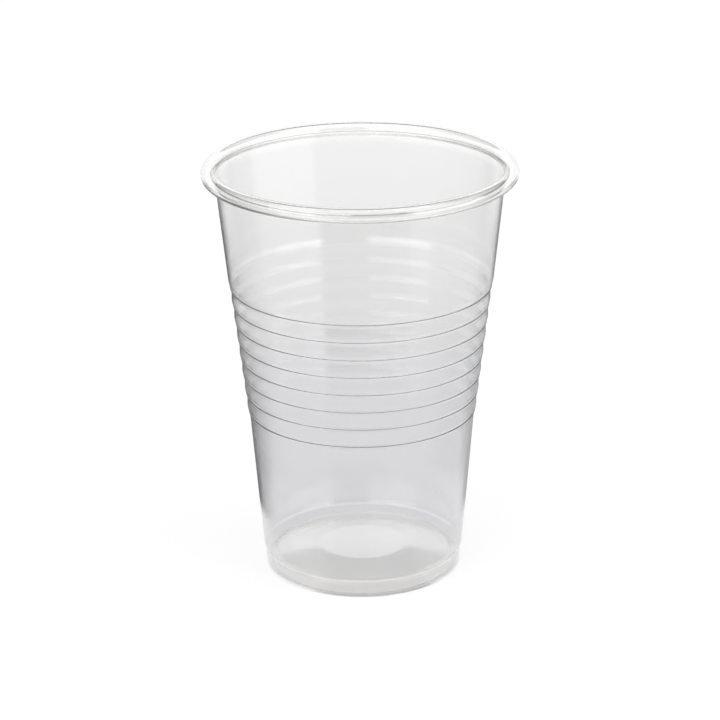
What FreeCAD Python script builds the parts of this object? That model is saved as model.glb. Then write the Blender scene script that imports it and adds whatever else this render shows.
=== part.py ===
import FreeCAD, Part
import Sketcher
import math
import os

# A clear disposable drinking cup, drawn down in one piece from a heated sheet: a base raised
# inside a hollow foot, a plain lower panel, a field of stepped rings for grip and stiffness,
# a plain upper panel, and an edge rolled outwards into a hollow tube.
# The origin is the middle of the ring it stands on, +Z points up through the mouth, in millimetres.

SIZES = {
    # the whole cup
    "cup_height": 94.8,
    "rim_diameter": 70.3,
    # the rolled edge: section across the tube, its skin, and how far round the sheet is rolled
    "roll_width": 3.34,
    "roll_skin": 0.43,
    "roll_turn": 300,
    # the thin side wall, and how far below the top its inside turns upright into the mouth
    "wall": 0.2,
    "mouth_depth": 3.8,
    # the plain upper panel, from the top of the cup down to the foot of the first slope
    "upper_panel_height": 28.4,
    "upper_panel_step": 0.64,
    # the stepped rings: straight bands, each drawn in to the next by a short slope
    "ring_count": 8,
    "ring_pitch": 4.21,
    "ring_slope_height": 1.5,
    "ring_step": 0.5,
    "first_ring_diameter": 57.88,
    # the foot: a rounded corner, a band that leans out a little, and a short shoulder above it
    "foot_diameter": 44.7,
    "foot_corner": 0.4,
    "foot_skin": 0.33,
    "foot_band_height": 4.1,
    "foot_band_lean": 0.1,
    "shoulder_rise": 1.2,
    "shoulder_step": 0.32,
    # the ring that the cup stands on, and the hollow inside it, which narrows upwards
    "foot_ring_width": 2.05,
    "hollow_draft": 0.25,
    "hollow_height": 2.6,
    # the base over the hollow, and the round panel pressed up in its middle
    "base_skin": 0.45,
    "centre_panel_diameter": 19.6,
    "centre_panel_rise": 0.3,
    "centre_panel_slope": 0.4,
}

# how near two lengths lie when they count as the same
CLOSE = 1e-6


class Size:
    """A length with its value now and the formula that ties it to the table of sizes."""

    def __init__(self, value, formula):
        self.value = value
        self.formula = formula

    def joined(self, other, sign, value):
        formula = other.formula if isinstance(other, Size) else str(other)
        return Size(value, "(" + self.formula + " " + sign + " " + formula + ")")

    def __add__(self, other):
        return self.joined(other, "+", self.value + plain(other))

    def __sub__(self, other):
        return self.joined(other, "-", self.value - plain(other))

    def __mul__(self, other):
        return self.joined(other, "*", self.value * plain(other))

    def __truediv__(self, other):
        return self.joined(other, "/", self.value / plain(other))


def plain(number):
    return number.value if isinstance(number, Size) else number


def table_of_sizes(document):
    """One row for each size: its name, and the number that carries that name as alias."""
    sheet = document.addObject("Spreadsheet::Sheet", "Sizes")
    sizes = {}
    for row, (name, number) in enumerate(SIZES.items(), start=1):
        sheet.set("A" + str(row), name)
        sheet.set("B" + str(row), str(number))
        sheet.setAlias("B" + str(row), name)
        sizes[name] = Size(number, "Sizes." + name)
    document.recompute()
    return sizes


def half_section(body, name):
    """An empty sketch on the upright plane through the axis: across is radius, up is height."""
    plane = [item for item in body.Origin.OriginFeatures if item.Role == "XZ_Plane"][0]
    sketch = body.newObject("Sketcher::SketchObject", name)
    sketch.AttachmentSupport = [(plane, "")]
    sketch.MapMode = "FlatFace"
    return sketch


def tie(sketch, kind, ends, size):
    """Adds one dimension between the ends given and binds it to its formula."""
    index = sketch.addConstraint(Sketcher.Constraint(kind, *ends, size.value))
    sketch.setExpression("Constraints[" + str(index) + "]", size.formula)


def place(sketch, edge, end, radius, height):
    """Holds one end of an edge at a radius and a height, either of which may be nought."""
    origin = (-1, 1)
    for kind, size, axis in (("DistanceX", radius, -2), ("DistanceY", height, -1)):
        if plain(size) == 0:
            sketch.addConstraint(Sketcher.Constraint("PointOnObject", edge, end, axis))
        else:
            tie(sketch, kind, (*origin, edge, end), size)


def closed_outline(body, name, corners):
    """A closed outline of straight edges through the corners, each a radius and a height."""
    sketch = half_section(body, name)
    points = [FreeCAD.Vector(plain(radius), plain(height), 0) for radius, height in corners]
    for start, finish in zip(points, points[1:] + points[:1]):
        sketch.addGeometry(Part.LineSegment(start, finish))
    last = len(corners) - 1
    for edge, (radius, height) in enumerate(corners):
        before = edge - 1 if edge else last
        sketch.addConstraint(Sketcher.Constraint("Coincident", before, 2, edge, 1))
        place(sketch, edge, 1, radius, height)
    return sketch


def turned(body, kind, name, sketch):
    """Turns a half section all the way round the axis, to add material or to cut it."""
    feature = body.newObject("PartDesign::" + kind, name)
    feature.Profile = sketch
    feature.ReferenceAxis = (sketch, ["V_Axis"])
    feature.Angle = 360
    sketch.Visibility = False


def ring_corners(size, inset):
    """The corners up the ring field, from the lower panel to the upper one, inset by the wall."""
    count = int(SIZES["ring_count"])
    first_line = size["cup_height"] - size["upper_panel_height"]
    first_radius = size["first_ring_diameter"] / 2 - inset
    corners = []
    for ring in range(count - 1, -1, -1):
        line = first_line - size["ring_pitch"] * ring
        radius = first_radius - size["ring_step"] * ring
        above = size["ring_step"] if ring else size["upper_panel_step"]
        corners.append((radius, line))
        corners.append((radius + above, line + size["ring_slope_height"]))
    return corners


def foot_corners(size, inset):
    """The corners at the top of the foot band and at the top of the shoulder, inset by the wall."""
    band_radius = size["foot_diameter"] / 2 + size["foot_band_lean"] - inset
    return [
        (band_radius, size["foot_band_height"]),
        (band_radius + size["shoulder_step"], size["foot_band_height"] + size["shoulder_rise"]),
    ]


def hollow_radii(size, outset):
    """The radius of the hollow under the base at its mouth and at its roof, set out by a skin."""
    mouth = size["foot_diameter"] / 2 - size["foot_ring_width"] + outset
    return mouth, mouth - size["hollow_draft"]


def roll_centre(size):
    """The middle of the rolled tube, from the widest and the highest point of the rim."""
    return (size["rim_diameter"] / 2 - size["roll_width"] / 2,
            size["cup_height"] - size["roll_width"] / 2)


def mouth_edge(size):
    """The radius of the mouth, and the height where the wall starts to thicken into the roll."""
    return (size["rim_diameter"] / 2 - size["roll_width"],
            size["cup_height"] - size["mouth_depth"])


def add_blank(body, size):
    """The outer form as a solid block, from the ring it stands on up to the middle of the roll."""
    mouth_radius, mouth_height = mouth_edge(size)
    roll_height = roll_centre(size)[1]
    corners = [
        (0, 0),
        (size["foot_diameter"] / 2, 0),
        *foot_corners(size, 0),
        *ring_corners(size, 0),
        (mouth_radius + size["wall"], mouth_height),
        (mouth_radius + size["roll_skin"], roll_height),
        (0, roll_height),
    ]
    turned(body, "Revolution", "outer_form", closed_outline(body, "outer_section", corners))


def cut_inside(body, size):
    """The space for the drink, which leaves the side wall, the foot channel and the base."""
    mouth_radius, mouth_height = mouth_edge(size)
    roll_height = roll_centre(size)[1]
    channel_radius, floor_radius = hollow_radii(size, size["foot_skin"])
    floor = size["hollow_height"] + size["base_skin"]
    panel_edge = size["centre_panel_diameter"] / 2
    wall = size["wall"]
    corners = [
        (0, floor + size["centre_panel_rise"]),
        (panel_edge, floor + size["centre_panel_rise"]),
        (panel_edge + size["centre_panel_slope"], floor),
        (floor_radius, floor),
        (channel_radius, size["foot_skin"]),
        (size["foot_diameter"] / 2 - wall, size["foot_skin"]),
        *foot_corners(size, wall),
        *ring_corners(size, wall),
        (mouth_radius, mouth_height),
        (mouth_radius, roll_height),
        (0, roll_height),
    ]
    turned(body, "Groove", "inside", closed_outline(body, "inside_section", corners))


def cut_hollow_under_base(body, size):
    """The space under the base, so that the cup stands only on the ring around it."""
    mouth_radius, roof_radius = hollow_radii(size, 0)
    roof = size["hollow_height"]
    panel_edge = size["centre_panel_diameter"] / 2
    corners = [
        (0, 0),
        (mouth_radius, 0),
        (roof_radius, roof),
        (panel_edge + size["centre_panel_slope"], roof),
        (panel_edge, roof + size["centre_panel_rise"]),
        (0, roof + size["centre_panel_rise"]),
    ]
    turned(body, "Groove", "foot_hollow", closed_outline(body, "foot_hollow_section", corners))


def roll_section(body, size):
    """Two arcs about one centre, open towards the wall below, with a cut end at the lip."""
    sketch = half_section(body, "roll_section")
    radius, height = roll_centre(size)
    outside = size["roll_width"] / 2
    inside = outside - size["roll_skin"]
    centre = FreeCAD.Vector(radius.value, height.value, 0)
    upright = FreeCAD.Vector(0, 0, 1)
    lip = math.pi - math.radians(SIZES["roll_turn"])
    toward_lip = FreeCAD.Vector(math.cos(lip), math.sin(lip), 0)
    toward_wall = FreeCAD.Vector(-1, 0, 0)

    skins = (outside.value, inside.value)
    for skin in skins:
        sketch.addGeometry(Part.ArcOfCircle(Part.Circle(centre, upright, skin), lip, math.pi))
    for way in (toward_wall, toward_lip):
        ends = [centre + way * skin for skin in skins]
        sketch.addGeometry(Part.LineSegment(*ends))
    outer_arc, inner_arc, wall_end, lip_end = range(4)
    spoke = sketch.addGeometry(Part.LineSegment(centre, centre + toward_lip * outside.value), True)

    place(sketch, outer_arc, 3, radius, height)
    for kind, *ends in (
        ("Coincident", inner_arc, 3, outer_arc, 3),
        ("Coincident", outer_arc, 2, wall_end, 1),
        ("Coincident", inner_arc, 2, wall_end, 2),
        ("Coincident", outer_arc, 1, lip_end, 1),
        ("Coincident", inner_arc, 1, lip_end, 2),
        ("Coincident", spoke, 1, outer_arc, 3),
        ("Coincident", spoke, 2, outer_arc, 1),
        ("PointOnObject", inner_arc, 1, spoke),
        ("Horizontal", outer_arc, 3, outer_arc, 2),
        ("Horizontal", outer_arc, 3, inner_arc, 2),
    ):
        sketch.addConstraint(Sketcher.Constraint(kind, *ends))
    tie(sketch, "Radius", (outer_arc,), outside)
    tie(sketch, "Radius", (inner_arc,), inside)
    return sketch, spoke


def add_roll(body, size):
    """The edge, rolled over the top and outwards, on the end of the wall."""
    sketch, spoke = roll_section(body, size)
    turn = size["roll_turn"]
    lip_angle = Size(math.radians(180 - turn.value), "(180 - " + turn.formula + ") * 1 deg")
    tie(sketch, "Angle", (spoke,), lip_angle)
    turned(body, "Revolution", "rolled_edge", sketch)


def round_foot_corner(document, body, size):
    """Rounds the outer edge of the ring that the cup stands on."""
    document.recompute()
    cup_so_far = body.Tip
    edges = []
    for number, edge in enumerate(cup_so_far.Shape.Edges, start=1):
        on_floor = abs(edge.BoundBox.ZMax) < CLOSE
        if on_floor and abs(edge.Curve.Radius - size["foot_diameter"].value / 2) < CLOSE:
            edges.append("Edge" + str(number))
    corner = body.newObject("PartDesign::Fillet", "foot_corner")
    corner.Base = (cup_so_far, edges)
    corner.setExpression("Radius", size["foot_corner"].formula)


def build_cup(document):
    size = table_of_sizes(document)
    body = document.addObject("PartDesign::Body", "cup_body")
    body.Label = "cup"
    add_blank(body, size)
    cut_inside(body, size)
    cut_hollow_under_base(body, size)
    add_roll(body, size)
    round_foot_corner(document, body, size)
    body.Placement = FreeCAD.Placement()
    return body


def check(document, bodies):
    """Stops if anything in the document failed, or a piece isn't one sound solid."""
    for item in document.Objects:
        if "Invalid" in item.State or "Error" in item.State:
            raise RuntimeError(item.Name + " failed: " + str(item.State))
        if item.TypeId == "PartDesign::Groove":
            if item.Shape.Volume >= item.BaseFeature.Shape.Volume:
                raise RuntimeError(item.Name + " cuts nothing away")
    for body in bodies:
        shape = body.Shape
        if shape.isNull() or not shape.isValid() or len(shape.Solids) != 1:
            raise RuntimeError(body.Label + " is not one sound solid")


def main():
    document = FreeCAD.newDocument("disposable_cup")
    bodies = [build_cup(document)]
    document.recompute()
    check(document, bodies)
    os.makedirs("parts", exist_ok=True)
    for body in bodies:
        body.Shape.exportStep("parts/" + body.Label + ".step")
        box = body.Shape.optimalBoundingBox()
        print(body.Label, "is", round(box.XLength, 2), "by", round(box.YLength, 2), "by",
              round(box.ZLength, 2), "mm, with", round(body.Shape.Volume, 1), "cubic mm of plastic")


main()
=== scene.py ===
# %% [markdown]
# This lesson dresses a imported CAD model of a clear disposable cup, so that it looks like the
# thin pressed plastic that it is. The CAD solid gives the sizes. Here the cup gets softer
# corners, a material that light passes through, and a small studio around it. The numbers of
# the shape are in millimetres, as on a drawing, and Blender gets them in metres.

import bpy
import numpy as np
from mathutils import Euler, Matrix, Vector


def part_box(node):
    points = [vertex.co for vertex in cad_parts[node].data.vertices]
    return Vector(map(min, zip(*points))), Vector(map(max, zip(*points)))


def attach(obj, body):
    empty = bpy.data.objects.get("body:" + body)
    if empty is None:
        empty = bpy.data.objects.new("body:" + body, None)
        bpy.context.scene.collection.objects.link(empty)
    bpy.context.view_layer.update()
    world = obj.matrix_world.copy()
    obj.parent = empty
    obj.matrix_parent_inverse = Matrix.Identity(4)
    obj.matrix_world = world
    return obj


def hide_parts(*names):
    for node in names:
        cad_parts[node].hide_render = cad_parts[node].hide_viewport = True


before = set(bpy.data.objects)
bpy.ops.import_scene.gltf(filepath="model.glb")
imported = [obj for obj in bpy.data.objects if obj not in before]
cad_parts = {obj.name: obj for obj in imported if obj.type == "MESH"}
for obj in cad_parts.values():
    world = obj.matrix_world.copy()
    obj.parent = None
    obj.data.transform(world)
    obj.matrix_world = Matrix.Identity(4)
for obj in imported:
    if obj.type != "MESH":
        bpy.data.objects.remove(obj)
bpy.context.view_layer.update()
MM = 0.001
low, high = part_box("cup")
print("the CAD cup goes from", [round(v / MM, 1) for v in low])
print("to", [round(v / MM, 1) for v in high], "mm")

# %% [markdown]
# The camera stands where the photographer stood: it looks down at the cup by some 20 degrees
# through a long lens, from two thirds of a metre away. A long lens keeps the ellipses of the
# mouth and of the base nearly alike. The camera is made first, because every choice of shape
# and light after it is judged through this view. Light may bounce many times, because one
# look through the cup crosses many faces of the thin sheet.

# %% Place the camera
LOOK_DOWN = np.radians(20.32)
TILT = np.radians(-0.5)
DISTANCE = 658.5 * MM
TARGET = np.array([-0.36, 0.0, 48.5]) * MM
LENS_PIXELS = 2919.0
PICTURE = 720
SENSOR = 36.0
NEAREST = 0.01
BOUNCES = 24

camera_data = bpy.data.cameras.new("camera")
camera_data.sensor_width = SENSOR
camera_data.lens = LENS_PIXELS / PICTURE * SENSOR
camera_data.clip_start = NEAREST
camera = bpy.data.objects.new("camera", camera_data)
bpy.context.scene.collection.objects.link(camera)
to_camera = np.array([0.0, -np.cos(LOOK_DOWN), np.sin(LOOK_DOWN)])
camera.location = Vector(TARGET + DISTANCE * to_camera)
level_aim = Euler((np.pi / 2 - LOOK_DOWN, 0.0, 0.0)).to_matrix()
aim = level_aim @ Euler((0.0, 0.0, TILT)).to_matrix()
camera.rotation_euler = aim.to_euler()
bpy.context.scene.camera = camera
bpy.context.scene.view_settings.view_transform = "Standard"
for kind in ("max_bounces", "transmission_bounces", "glossy_bounces"):
    setattr(bpy.context.scene.cycles, kind, BOUNCES)
print("camera at", [round(v, 3) for v in camera.location])
print("with a lens of", round(camera_data.lens, 1), "mm")

# %% [markdown]
# The real cup starts as a flat sheet, which is heated and drawn down into a mould, so its wall
# is one thin skin that follows the mould. Any half section of it, turned round the upright
# axis, gives the whole cup. A section is a list of corners, each a radius and a height, as a
# draughtsman would give them, and a third number says how softly the corner is rounded. The
# outside and the drink side get a list each, because the sheet's two faces are not quite
# parallel: it is thicker in the foot and in the rolled edge than in the wall.
#
# The rings round the middle stiffen the wall and give the fingers a hold. Each is a short
# slope, with a tiny ledge on its outside, which draws the thin grey line round the cup together
# with painted shade laid on the ledge later.

# %% Corners of the ring field
RINGS = 8
RING_PITCH = 4.21
RING_FOOT = 66.4
RING_RADIUS = 28.94
RING_STEP = 0.5
TOP_STEP = 0.64
SLOPE = 1.5
LEDGE_RISE = (0.65, 0.72)
LEDGE_SHARE = (0.62, 0.24)
WALL = 0.2


def ring_corners(inset, rise, across, soft):
    """Corners up the ring field, lowest ring first.

    Ring number i, counted from the top, starts at the top ring's radius less i steps, and at
    the top ring's height less i pitches. Each corner of a ring is a rise above that height and
    a share of the step outwards, up to the foot of the next band. The top ring steps further
    than the others, and its slope is taller by the same factor, so that all lean alike.
    """
    i = np.arange(RINGS - 1, -1, -1)
    rise, across = np.array(rise), np.array(across)
    radius = RING_RADIUS - inset - RING_STEP * i
    height = RING_FOOT - RING_PITCH * i
    step = np.where(i == 0, TOP_STEP, RING_STEP)[:, None]
    taller = np.where(rise == SLOPE, step / RING_STEP, 1.0)
    corners = np.stack([
        radius[:, None] + step * across,
        height[:, None] + taller * rise,
        np.broadcast_to(soft, (RINGS, len(rise))),
    ], axis=2)
    return corners.reshape(-1, 3)


outer_rings = ring_corners(
    inset=0.0,
    rise=[0.0, *LEDGE_RISE, SLOPE],
    across=[0.0, *LEDGE_SHARE, 1.0],
    soft=[0.20, 0.03, 0.03, 0.30],
)
inner_rings = ring_corners(
    inset=WALL,
    rise=[0.0, SLOPE],
    across=[0.0, 1.0],
    soft=[0.45, 0.55],
)
print("the ring field has", len(outer_rings), "corners outside and", len(inner_rings), "inside")

# %% Round the corners of a section
ROUND_STEPS = 4


def rounded(corners):
    """A smooth line through a list of corners, with the direction of the line at each point.

    Each corner is cut off at its softness before and after it, and the two cuts are joined by
    a quadratic curve: the start times (1 - t) squared, plus the corner times 2 t (1 - t), plus
    the end times t squared. The direction is that curve's derivative.
    """
    place, soft = corners[:, :2], corners[:, 2:]
    run = np.diff(place, axis=0)
    run /= np.linalg.norm(run, axis=1, keepdims=True)
    before = np.vstack([run[:1], run])
    after = np.vstack([run, run[-1:]])
    start = place - before * soft
    end = place + after * soft
    t = np.linspace(0, 1, ROUND_STEPS + 1)[None, :, None]
    a, b, c = start[:, None], place[:, None], end[:, None]
    line = a * (1 - t) ** 2 + b * 2 * t * (1 - t) + c * t ** 2
    way = before[:, None] * (1 - t) + after[:, None] * t
    return line.reshape(-1, 2), way.reshape(-1, 2)


print("each rounded corner is a curve of", ROUND_STEPS + 1, "points")

# %% [markdown]
# The edge is rolled outwards into a tube, as on every cup of this kind: it stiffens the mouth
# and is kind to the lips. In section it is an inside arc and an outside arc about one centre.
# Under the roll both wind inwards, so the cut lip ends inside the tube, close to the wall.

# %% Section of the rolled edge
ROLL_CENTRE = np.array([33.48, 93.13])
ROLL_OUTSIDE = 1.67
ROLL_INSIDE = 1.24
CURL_FROM = np.radians(-70.0)
CURL = 0.30
LIP_INSIDE = np.radians(-155.0)
LIP_OUTSIDE = np.radians(-170.0)


def arc(radius, first, last, steps):
    """Points round the middle of the roll, and the way along them.

    The point at angle a is the centre plus the radius times (cosine a, sine a). Below the
    angle where the curl starts, the radius shrinks by the curl for each radian further on.
    """
    a = np.linspace(first, last, steps)
    out = np.stack([np.cos(a), np.sin(a)], axis=1)
    curled = radius - CURL * np.clip(CURL_FROM - a, 0, None)
    line = ROLL_CENTRE + curled[:, None] * out
    return line, np.gradient(line, axis=0)


roll = [
    arc(ROLL_INSIDE, np.pi, LIP_INSIDE, steps=44),
    arc(ROLL_OUTSIDE, LIP_OUTSIDE, np.pi, steps=56),
]
print("the sheet in the roll is", round(ROLL_OUTSIDE - ROLL_INSIDE, 2), "mm thick")

# %% [markdown]
# The whole section is one closed line. It starts in the middle under the base, runs out over
# the hollow under the foot, round the ring that the cup stands on, up the outside, round the
# roll, and back down the drink side to the middle of the floor. The base rises by almost a
# millimetre towards its middle, and the middle itself is nearly level.

# %% The whole half section
under = np.array([
    [0.0, 3.55, 0.0],  # the middle of the base, from below
    [9.8, 3.5, 0.5],  # the edge of its nearly level part
    [20.1, 2.6, 0.9],  # the edge of the hollow's roof
    [20.3, 0.0, 0.2],  # the inside of the ring that the cup stands on
    [22.35, 0.0, 0.4],  # the outside of that ring
    [22.38, 4.1, 0.2],  # the top of the foot band
    [22.80, 5.2, 0.3],  # the top of the shoulder
])
MOUTH_FOOT = 91.0
ROLL_HEIGHT = ROLL_CENTRE[1]
outside_top = np.array([
    [32.01, MOUTH_FOOT, 0.8],
    [ROLL_CENTRE[0] - ROLL_INSIDE, ROLL_HEIGHT, 0.0],
])
inside_top = np.array([
    [ROLL_CENTRE[0] - ROLL_OUTSIDE, ROLL_HEIGHT, 0.0],
    [ROLL_CENTRE[0] - ROLL_OUTSIDE, MOUTH_FOOT, 0.8],
])
floor_side = np.array([
    [22.62, 5.3, 0.2],  # the top of the shoulder, from the drink side
    [22.14, 4.15, 0.15],  # the top of the foot band
    [22.08, 0.33, 0.4],  # the channel inside the foot, at the wall
    [20.63, 0.33, 0.4],  # the channel, at the floor
    [20.38, 3.05, 0.9],  # the edge of the floor
    [9.8, 3.95, 0.5],  # the edge of its nearly level part
    [0.0, 4.0, 0.0],  # the middle of the floor
])
SAME_POINT = 1e-4
outer_line = rounded(np.vstack([under, outer_rings, outside_top]))
inner_line = rounded(np.vstack([inside_top, inner_rings[::-1], floor_side]))
runs = [outer_line, *roll, inner_line]
section = np.vstack([line for line, way in runs])
heading = np.vstack([way for line, way in runs])
gaps = np.linalg.norm(np.diff(section, axis=0), axis=1)
fresh = np.concatenate([[True], gaps > SAME_POINT])
section, heading = section[fresh], heading[fresh]
print("the half section has", len(section), "points")

# %% [markdown]
# On a ledge and on the cut lip the sheet is seen edge on, and both show as thin dark lines.
# That darkness is painted shade in the colour: each piece of the section gets a darkness from
# nought to one, and the material reads it from the mesh later on. Both are found by how far the
# line steps inwards at once: a ledge while it climbs the ring field, and the lip inside the
# roll.

# %% Find the ledges and the lip
LEDGE_INWARDS = 0.08
RING_FIELD = (30.0, 70.0)
LIP_INWARDS = 0.3
LIP_ABOVE = 92.0
# How dark the painted shade is on a ledge and on the cut lip.
LEDGE_SHADE = 1.0
LIP_SHADE = 0.75

step = np.diff(section, axis=0)
start_height = section[:-1, 1]
in_rings = (start_height > RING_FIELD[0]) & (start_height < RING_FIELD[1])
ledge = in_rings & (step[:, 0] < -LEDGE_INWARDS) & (step[:, 1] > 0)
cut_edge = (start_height > LIP_ABOVE) & (step[:, 0] < -LIP_INWARDS)
painted_shade = LEDGE_SHADE * ledge + LIP_SHADE * cut_edge
print("it has", ledge.sum(), "ledges and", cut_edge.sum(), "cut lip")

# %% Turn the section round the axis
AROUND = 224


def turned(section, heading):
    """The points of the cup and the outward direction at each, in metres.

    A point at radius r and height z, turned by angle a, lands at (r cosine a, r sine a, z).
    The outward direction is the heading of the line turned a quarter, (dz, -dr), and then
    turned by a in the same way. The first and last points of the section lie on the axis, so
    each of them is one point only.
    """
    a = np.linspace(0, 2 * np.pi, AROUND, endpoint=False)
    ring = np.stack([np.cos(a), np.sin(a)], axis=1)

    def spun(across, up):
        """Each pair of an across and an up, turned round the axis."""
        flat = across[:, None, None] * ring
        tall = np.broadcast_to(up[:, None, None], (len(up), AROUND, 1))
        return np.concatenate([flat, tall], axis=2).reshape(-1, 3)

    way = heading / np.linalg.norm(heading, axis=1, keepdims=True)
    skin = spun(section[1:-1, 0], section[1:-1, 1])
    outward = spun(way[1:-1, 1], -way[1:-1, 0])
    points = np.vstack([[[0, 0, section[0, 1]]], skin, [[0, 0, section[-1, 1]]]]) * MM
    normals = np.vstack([[[0, 0, -1]], outward, [[0, 0, 1]]])
    return points, normals


points, normals = turned(section, heading)
print("the cup has", len(points), "points")

# %% [markdown]
# The faces follow from the order of the points. Between two rows of points each face has four
# sides, and at either end a fan of triangles closes the skin round the axis. All corners are
# listed so that the faces point outwards. The outward directions go into the mesh as they are,
# so the thin sheet reflects as smoothly as the real one.

# %% Make the mesh
def closed_skin(name, points, normals, rows):
    """A closed mesh over rows of points, with a point on the axis at either end.

    Point j of row i is number 1 + AROUND i + j, and its neighbour round the ring is j + 1,
    which after the last one is nought again.
    """
    here = np.arange(AROUND)
    there = (here + 1) % AROUND
    row = 1 + AROUND * np.arange(rows - 1)[:, None]
    up = row + AROUND
    quads = np.stack([row + here, row + there, up + there, up + here], axis=2).reshape(-1, 4)
    last = 1 + AROUND * (rows - 1)
    first_fan = np.stack([0 * here, 1 + there, 1 + here], axis=1)
    last_fan = np.stack([0 * here + len(points) - 1, last + here, last + there], axis=1)
    corners = np.concatenate([first_fan.ravel(), quads.ravel(), last_fan.ravel()])
    sizes = np.concatenate([np.full(AROUND, 3), np.full(len(quads), 4), np.full(AROUND, 3)])

    mesh = bpy.data.meshes.new(name)
    mesh.vertices.add(len(points))
    mesh.vertices.foreach_set("co", points.ravel())
    mesh.loops.add(len(corners))
    mesh.loops.foreach_set("vertex_index", corners)
    mesh.polygons.add(len(sizes))
    mesh.polygons.foreach_set("loop_start", np.concatenate([[0], np.cumsum(sizes)[:-1]]))
    mesh.update(calc_edges=True)
    mesh.validate()
    mesh.polygons.foreach_set("use_smooth", np.ones(len(sizes), dtype=bool))
    mesh.normals_split_custom_set_from_vertices(normals)
    return mesh


cup_mesh = closed_skin("thin_cup", points, normals, rows=len(section) - 2)
fan = np.zeros(AROUND)
# Each face carries its painted shade as an attribute, which the material reads.
crease_shade = cup_mesh.attributes.new("crease_shade", "FLOAT", "FACE")
crease_shade_values = np.concatenate([fan, np.repeat(painted_shade[1:-1], AROUND), fan])
crease_shade.data.foreach_set("value", crease_shade_values.astype(np.float32))

cup = bpy.data.objects.new("thin_cup", cup_mesh)
bpy.context.scene.collection.objects.link(cup)
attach(cup, "root")
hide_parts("cup")
print("the cup has", sum(len(p.vertices) - 2 for p in cup_mesh.polygons), "triangles")

# %% [markdown]
# Materials are sheets of nodes. A few helpers keep them short: one adds a node, one feeds a
# socket from another node or with a plain value, and the rest are the sums that come back
# several times below.

# %% Helpers for shader nodes
def add(tree, kind, place, **values):
    """Adds a node at a place on the sheet, and sets its plain properties."""
    node = tree.nodes.new(kind)
    node.location = place
    for name, value in values.items():
        setattr(node, name, value)
    return node


def feed(tree, value, socket):
    """Links another node's output to a socket, or sets a plain value on it."""
    if hasattr(value, "is_output"):
        tree.links.new(value, socket)
    else:
        socket.default_value = value


def mixed(tree, factor, first, second, place):
    """The first colour where the factor is nought, and the second where it is one."""
    node = add(tree, "ShaderNodeMix", place, data_type="RGBA")
    factor_socket, first_socket, second_socket, result = 0, 6, 7, 2
    feed(tree, factor, node.inputs[factor_socket])
    feed(tree, first, node.inputs[first_socket])
    feed(tree, second, node.inputs[second_socket])
    return node.outputs[result]


def times(tree, first, second, place):
    """Two colours or directions multiplied, number by number."""
    node = add(tree, "ShaderNodeVectorMath", place, operation="MULTIPLY")
    feed(tree, first, node.inputs[0])
    feed(tree, second, node.inputs[1])
    return node.outputs["Vector"]


def share(tree, value, start, end, place, curve="LINEAR"):
    """How far a value has come from a start to an end: nought before it, and one past it."""
    node = add(tree, "ShaderNodeMapRange", place, interpolation_type=curve)
    node.inputs["From Min"].default_value = start
    node.inputs["From Max"].default_value = end
    feed(tree, value, node.inputs["Value"])
    return node.outputs["Result"]


def ramp(tree, value, stops, place):
    """A colour for a value: each stop is a position from nought to one, and its colour."""
    node = add(tree, "ShaderNodeValToRGB", place)
    elements = node.color_ramp.elements
    while len(elements) < len(stops):
        elements.new(1.0)
    for element, (position, colour) in zip(elements, stops):
        element.position = position
        element.color = (*([colour] * 3 if np.isscalar(colour) else colour), 1.0)
    feed(tree, value, node.inputs["Fac"])
    return node.outputs["Color"]


def parts_of(tree, vector, place):
    """The three numbers of a vector, each on an output of its own."""
    node = add(tree, "ShaderNodeSeparateXYZ", place)
    feed(tree, vector, node.inputs["Vector"])
    return node.outputs


def from_axis(tree, vector, place):
    """How far a point lies from the upright axis: the length of its level part."""
    x, y = place
    node = add(tree, "ShaderNodeVectorMath", (x + 200, y), operation="LENGTH")
    feed(tree, times(tree, vector, (1.0, 1.0, 0.0), place), node.inputs[0])
    return node.outputs["Value"]


print("the helpers for materials are ready")

# %% [markdown]
# Polypropylene sheet is clear but not crystal: it takes a little light out of what is behind
# it, and its surface carries the faint lines of the drawing. Light passes through, so the
# colour here is a tint: each face of the wall takes its share of it. Over the plastic's own
# grey, the tint by height is painted light and shade: darkest at the foot and grey through the
# middle as painted shade, lighter up towards the rim as painted light, with a thin lighter line
# at the top of the foot as a painted highlight. The base gets a lighter, warmer tint, which is
# painted light too. Each stop of the tint is a share of the cup's height, and the colour there.

# %% Tints of the plastic
CUP_HEIGHT = 94.8
# Painted shade: the darker tint of the foot. Painted highlight: the thin lighter line at its
# top.
FOOT_SHADE_TINT = (0.785, 0.785, 0.79)
FOOT_LINE_HIGHLIGHT = (0.96, 0.96, 0.96)
# Up the cup the tint is painted shade low down and painted light towards the rim, over the
# plastic's own grey.
TINTS_WITH_PAINTED_LIGHT = [
    (0.0000, FOOT_SHADE_TINT),
    (0.0424, FOOT_SHADE_TINT),
    (0.0430, FOOT_LINE_HIGHLIGHT),
    (0.0458, FOOT_LINE_HIGHLIGHT),
    (0.0464, FOOT_SHADE_TINT),
    (0.0560, (0.81, 0.81, 0.82)),
    (0.2000, (0.815, 0.815, 0.83)),
    (0.4500, (0.805, 0.805, 0.815)),
    (0.7300, (0.87, 0.87, 0.87)),
    (0.9500, (0.922, 0.922, 0.92)),
    (0.9670, (0.99, 0.99, 0.985)),
]
# Painted light: the base gets a lighter, warmer tint than the wall.
BASE_LIGHT_TINT = (0.985, 0.975, 0.96, 1.0)
BASE_FROM, BASE_TO = 20.9, 20.6
# Painted shade: the near-black tint on the ledges and the cut lip.
CREASE_SHADE_TINT = (0.12, 0.12, 0.122, 1.0)
print("the tint has", len(TINTS_WITH_PAINTED_LIGHT), "stops up the cup")

# %% The clear plastic
REFRACTION = 1.49
LINE_STRETCH = (1.0, 1.0, 0.06)
LINE_SCALE = 420.0
LINE_DETAIL = 3.0
SMOOTHEST, ROUGHEST = 0.03, 0.09
RIPPLE_STRENGTH = 0.35
RIPPLE_DEPTH = 0.02


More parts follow.
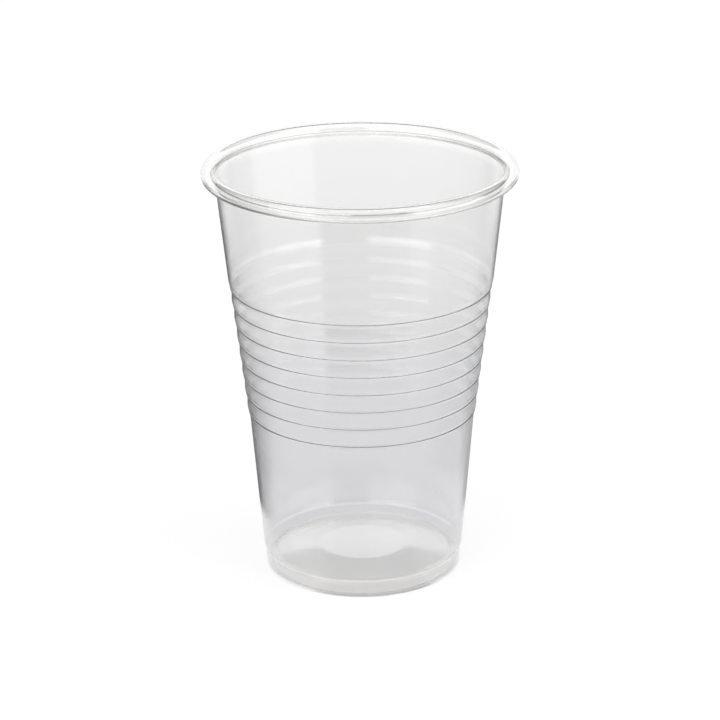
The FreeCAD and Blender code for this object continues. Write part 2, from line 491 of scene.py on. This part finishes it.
def clear_plastic():
    """Light passes through with a tint by height that holds painted light and shade, and fine
    draw lines ripple both faces.
    """
    material = bpy.data.materials.new("clear_plastic")
    material.use_nodes = True
    tree = material.node_tree
    tree.nodes.clear()
    out = add(tree, "ShaderNodeOutputMaterial", (900, 0))
    plastic = add(tree, "ShaderNodeBsdfPrincipled", (600, 0))
    plastic.inputs["Transmission Weight"].default_value = 1.0
    plastic.inputs["IOR"].default_value = REFRACTION
    feed(tree, plastic.outputs["BSDF"], out.inputs["Surface"])

    where = add(tree, "ShaderNodeTexCoord", (-900, 0)).outputs["Object"]
    z = parts_of(tree, where, (-700, 200))["Z"]
    height = share(tree, z, 0.0, CUP_HEIGHT * MM, (-500, 200))
    # The tint by height holds painted shade low on the cup and painted light towards the rim.
    tint = ramp(tree, height, TINTS_WITH_PAINTED_LIGHT, (-300, 200))
    radius = from_axis(tree, where, (-700, 500))
    # Painted light on the base: its tint is lighter and warmer than the wall's.
    base_light_share = share(tree, radius, BASE_FROM * MM, BASE_TO * MM, (-300, 500))
    with_base_light = mixed(tree, base_light_share, tint, BASE_LIGHT_TINT, (0, 300))
    # Painted shade on the ledges and the cut lip, read from the mesh.
    crease_shade_mask = add(tree, "ShaderNodeAttribute", (0, 500), attribute_name="crease_shade").outputs["Fac"]
    with_crease_shade = mixed(tree, crease_shade_mask, with_base_light, CREASE_SHADE_TINT, (250, 300))
    feed(tree, with_crease_shade, plastic.inputs["Base Color"])

    stretch = add(tree, "ShaderNodeMapping", (-700, -200))
    stretch.inputs["Scale"].default_value = LINE_STRETCH
    feed(tree, where, stretch.inputs["Vector"])
    noise = add(tree, "ShaderNodeTexNoise", (-500, -200))
    noise.inputs["Scale"].default_value = LINE_SCALE
    noise.inputs["Detail"].default_value = LINE_DETAIL
    feed(tree, stretch.outputs["Vector"], noise.inputs["Vector"])
    lines = noise.outputs["Fac"]
    gloss = add(tree, "ShaderNodeMapRange", (-300, -100))
    gloss.inputs["To Min"].default_value = SMOOTHEST
    gloss.inputs["To Max"].default_value = ROUGHEST
    feed(tree, lines, gloss.inputs["Value"])
    feed(tree, gloss.outputs["Result"], plastic.inputs["Roughness"])
    ripple = add(tree, "ShaderNodeBump", (200, -300))
    ripple.inputs["Strength"].default_value = RIPPLE_STRENGTH
    ripple.inputs["Distance"].default_value = RIPPLE_DEPTH * MM
    feed(tree, lines, ripple.inputs["Height"])
    feed(tree, ripple.outputs["Normal"], plastic.inputs["Normal"])
    return material


cup_mesh.materials.append(clear_plastic())
print("the cup has", len(cup_mesh.materials), "material")

# %% [markdown]
# Clear things show only what is around them. A photographer stands such a cup on white, lights
# the white, and lets a few darker and brighter areas draw the edges. Here the room is given as
# greys for each direction: the camera and the straight look through the plastic see white, and
# reflections see the room.

# %% Greys by direction
def by_compass(tree, vector, stops, place):
    """A grey for the compass direction of a vector: each stop is degrees and a grey.

    Nought is towards the camera, ninety is to the right in its picture, and both 180 and
    minus 180 are behind the cup. The angle is the arctangent of x over minus y.
    """
    x, y = place
    parts = parts_of(tree, vector, place)
    back = add(tree, "ShaderNodeMath", (x + 180, y), operation="MULTIPLY")
    back.inputs[1].default_value = -1.0
    feed(tree, parts["Y"], back.inputs[0])
    angle = add(tree, "ShaderNodeMath", (x + 360, y), operation="ARCTAN2")
    feed(tree, parts["X"], angle.inputs[0])
    feed(tree, back.outputs["Value"], angle.inputs[1])
    turn = share(tree, angle.outputs["Value"], -np.pi, np.pi, (x + 540, y))
    greys = [(0.5 + degrees / 360, grey) for degrees, grey in stops]
    return ramp(tree, turn, greys, (x + 720, y))


def by_height(tree, vector, stops, place):
    """A grey for how high a direction points: each stop is an elevation in degrees and a grey.

    The upward part of a direction is the sine of its elevation, from minus one to one.
    """
    x, y = place
    level = share(tree, parts_of(tree, vector, place)["Z"], -1.0, 1.0, (x + 180, y))
    greys = [(0.5 + 0.5 * np.sin(np.radians(degrees)), grey) for degrees, grey in stops]
    return ramp(tree, level, greys, (x + 360, y))


def soft_edge(degrees, half_width, below=0.0, above=1.0):
    """Two stops that go from one grey to another about an elevation."""
    return [(degrees - half_width, below), (degrees + half_width, above)]


def straight_look(tree, place):
    """One for the camera's own look and for light that only passed through, else nought.

    A glossy depth under a half means that nothing has mirrored the light yet.
    """
    x, y = place
    path = add(tree, "ShaderNodeLightPath", (x, y))
    unbent = add(tree, "ShaderNodeMath", (x + 200, y), operation="LESS_THAN")
    unbent.inputs[1].default_value = 0.5
    feed(tree, path.outputs["Glossy Depth"], unbent.inputs[0])
    through = add(tree, "ShaderNodeMath", (x + 380, y), operation="MULTIPLY")
    feed(tree, path.outputs["Is Transmission Ray"], through.inputs[0])
    feed(tree, unbent.outputs["Value"], through.inputs[1])
    seen = add(tree, "ShaderNodeMath", (x + 560, y), operation="MAXIMUM")
    feed(tree, path.outputs["Is Camera Ray"], seen.inputs[0])
    feed(tree, through.outputs["Value"], seen.inputs[1])
    return seen.outputs["Value"]


print("the helpers for directions are ready")

# %% [markdown]
# The room has white walls with a dark opening behind the camera. The faces that look at the
# camera mirror it, so they add almost no light of their own. Behind the cup the wall
# brightens upwards, where the level parts, such as the floor of the cup, mirror it. Further
# up behind the cup a dark gap comes before the bright ceiling, while over the camera the
# ceiling starts where the wall ends.

# %% The room round the cup
WHITE = (1.0, 1.0, 1.0, 1.0)
ROOM = [(-180, 1.0), (-31, 1.0), (-27, 0.05), (36, 0.05), (41, 1.0), (180, 1.0)]
BEFORE = [(-110, 0.0), (-80, 1.0), (80, 1.0), (110, 0.0)]
WALL_TOP_BEHIND = 26.0
WALL_TOP_BEFORE = 35.0
GLOW = [(16.0, 1.0), (20.0, 1.35), (WALL_TOP_BEHIND, 1.65)]
GAP = 0.03
CEILING_EDGE = 57.0
CEILING = 1.25


def studio_room():
    """A world that is white for a straight look, and a room of greys in reflections."""
    world = bpy.data.worlds.new("studio_room")
    world.use_nodes = True
    tree = world.node_tree
    tree.nodes.clear()
    out = add(tree, "ShaderNodeOutputWorld", (1500, 0))
    way = add(tree, "ShaderNodeTexCoord", (-900, 0)).outputs["Generated"]
    before = by_compass(tree, way, BEFORE, (-700, -800))

    glow = mixed(tree, before, by_height(tree, way, GLOW, (-100, 500)), WHITE, (-50, 400))
    walls = times(tree, by_compass(tree, way, ROOM, (-700, 0)), glow, (100, 300))
    walls = mixed(tree, straight_look(tree, (-700, 400)), walls, WHITE, (300, 200))

    ceiling_edge = soft_edge(CEILING_EDGE, half_width=3, below=GAP)
    gap_and_ceiling = by_height(tree, way, ceiling_edge, (-100, -200))
    overhead = mixed(tree, before, gap_and_ceiling, WHITE, (300, -200))
    overhead = times(tree, overhead, (CEILING, CEILING, CEILING), (450, -200))

    top_behind = soft_edge(WALL_TOP_BEHIND, half_width=1)
    top_before = soft_edge(WALL_TOP_BEFORE, half_width=1)
    above_behind = by_height(tree, way, top_behind, (-100, -500))
    above_before = by_height(tree, way, top_before, (-100, -650))
    above = mixed(tree, before, above_behind, above_before, (300, -500))
    around = mixed(tree, above, walls, overhead, (600, 0))
    camera_look = add(tree, "ShaderNodeLightPath", (600, 400)).outputs["Is Camera Ray"]
    room = add(tree, "ShaderNodeBackground", (1200, 0))
    feed(tree, mixed(tree, camera_look, around, WHITE, (900, 0)), room.inputs["Color"])
    feed(tree, room.outputs["Background"], out.inputs["Surface"])
    return world


bpy.context.scene.world = studio_room()
print("the walls end at", WALL_TOP_BEHIND, "degrees behind and", WALL_TOP_BEFORE, "before")

# %% [markdown]
# The floor is a sheet of white paper. Most of its white is its own, so that it meets the
# background without an edge, and a small part comes from the lamps, which lets the cup keep a
# soft shadow. Seen in the plastic, the floor follows the room's greys, in four zones from the
# foot of the cup outwards, because each part of the cup mirrors another zone. The zone at the
# foot is grey before the cup: a painted shadow of the cup, seen only in the plastic.

# %% Greys of the floor
# Before the cup's foot the paper is grey: a painted shadow of the cup, seen only in the
# plastic.
FOOT_SHADOW_FLOOR = [(-34, 1.0), (-22, 0.5), (38, 0.5), (50, 1.0)]
NEAR_FLOOR = [
    (-180, 0.9), (-174, 0.8), (-166, 0.25), (-125, 0.12), (-105, 0.35), (-88, 0.95),
    (0, 1.2), (107, 1.1), (125, 0.6), (166, 0.4), (174, 0.8), (180, 0.9),
]
FAR_FLOOR = [
    (-180, 1.0), (-176, 0.9), (-172, 0.12), (-150, 0.15), (-134, 0.85), (-31, 1.0),
    (-27, 0.08), (36, 0.08), (41, 1.0), (140, 0.95), (152, 0.3), (172, 0.2),
    (176, 0.9), (180, 1.0),
]
LAST_FLOOR = [
    (-150, 1.0), (-134, 0.1), (36, 0.1), (41, 1.0),
    (94, 1.0), (104, 0.1), (134, 0.1), (150, 1.0),
]
ZONES = [(NEAR_FLOOR, 38, 46), (FAR_FLOOR, 110, 240), (LAST_FLOOR, 260, 310)]
OWN_WHITE = 0.83
LIT_WHITE = (0.16, 0.16, 0.16, 1.0)
REACH = 2.0


def floor_greys(tree, where):
    """The greys by the foot, with a painted shadow before it, and each further zone laid over
    what lies inside it.

    A zone takes over between its start and its end, which are distances from the axis in
    millimetres, and no two of these stretches meet.
    """
    radius = from_axis(tree, where, (-900, -600))
    greys = by_compass(tree, where, FOOT_SHADOW_FLOOR, (-700, -300))
    for n, (stops, start, end) in enumerate(ZONES):
        y = -900 - 300 * n
        reached = share(tree, radius, start * MM, end * MM, (-500, y + 150), "SMOOTHSTEP")
        zone = by_compass(tree, where, stops, (-700, y))
        greys = mixed(tree, reached, greys, zone, (200 + 150 * n, -600))
    return greys


print("the floor has", len(ZONES) + 1, "zones of grey")

# %% The floor
def white_paper():
    """White of its own for a straight look, the room's greys in reflections, and a shadow."""
    material = bpy.data.materials.new("white_paper")
    material.use_nodes = True
    tree = material.node_tree
    tree.nodes.clear()
    out = add(tree, "ShaderNodeOutputMaterial", (1500, 0))
    where = add(tree, "ShaderNodeTexCoord", (-1100, 0)).outputs["Object"]
    paper = add(tree, "ShaderNodeBsdfDiffuse", (800, -200))
    paper.inputs["Color"].default_value = LIT_WHITE
    own = add(tree, "ShaderNodeEmission", (800, 200))
    own.inputs["Color"].default_value = WHITE
    own.inputs["Strength"].default_value = OWN_WHITE
    lit = add(tree, "ShaderNodeAddShader", (1000, 100))
    feed(tree, own.outputs["Emission"], lit.inputs[0])
    feed(tree, paper.outputs["BSDF"], lit.inputs[1])
    mirrored = add(tree, "ShaderNodeEmission", (800, 0))
    feed(tree, floor_greys(tree, where), mirrored.inputs["Color"])
    pick = add(tree, "ShaderNodeMixShader", (1200, 0))
    feed(tree, straight_look(tree, (-700, 400)), pick.inputs["Fac"])
    feed(tree, mirrored.outputs["Emission"], pick.inputs[1])
    feed(tree, lit.outputs["Shader"], pick.inputs[2])
    feed(tree, pick.outputs["Shader"], out.inputs["Surface"])
    return material


floor_mesh = bpy.data.meshes.new("floor")
floor_corners = [(-REACH, -REACH, 0), (REACH, -REACH, 0), (REACH, REACH, 0), (-REACH, REACH, 0)]
floor_mesh.from_pydata(floor_corners, [], [(0, 1, 2, 3)])
floor_mesh.materials.append(white_paper())
floor = bpy.data.objects.new("floor", floor_mesh)
bpy.context.scene.collection.objects.link(floor)
print("the floor is", 2 * REACH, "m across")

# %% [markdown]
# Two soft boxes stand beside the camera, one on each side and a little above the cup, and a
# wide soft light hangs overhead. The slopes of the rings catch the boxes as short bright
# streaks on the far wall, and the overhead light whitens the rolled edge.

# %% The lamps
AIM_HEIGHT = 0.05
LAMP_DISTANCE = 1.2


def soft_light(name, azimuth, elevation, size, radiance):
    """A rectangular lamp that faces the cup.

    Azimuth is counted from the camera, to the right. Its power in watts is the radiance times
    pi times its area, so the number given is how bright it looks beside a white of one.
    """
    a, e = np.radians(azimuth), np.radians(elevation)
    way = np.array([np.sin(a) * np.cos(e), -np.cos(a) * np.cos(e), np.sin(e)])
    lamp = bpy.data.lights.new(name, "AREA")
    lamp.shape = "RECTANGLE"
    lamp.size, lamp.size_y = size
    lamp.energy = radiance * np.pi * size[0] * size[1]
    holder = bpy.data.objects.new(name, lamp)
    holder.location = Vector(way * LAMP_DISTANCE + np.array([0, 0, AIM_HEIGHT]))
    holder.rotation_euler = Vector(way).to_track_quat("Z", "Y").to_euler()
    bpy.context.scene.collection.objects.link(holder)
    return holder


lamps = [
    soft_light("box_right", azimuth=68, elevation=25, size=(1.4, 0.55), radiance=2.9),
    soft_light("box_left", azimuth=-38, elevation=25, size=(1.3, 0.55), radiance=2.9),
    soft_light("overhead", azimuth=0, elevation=88, size=(1.2, 1.2), radiance=0.6),
]
print(len(lamps), "soft lights are placed")
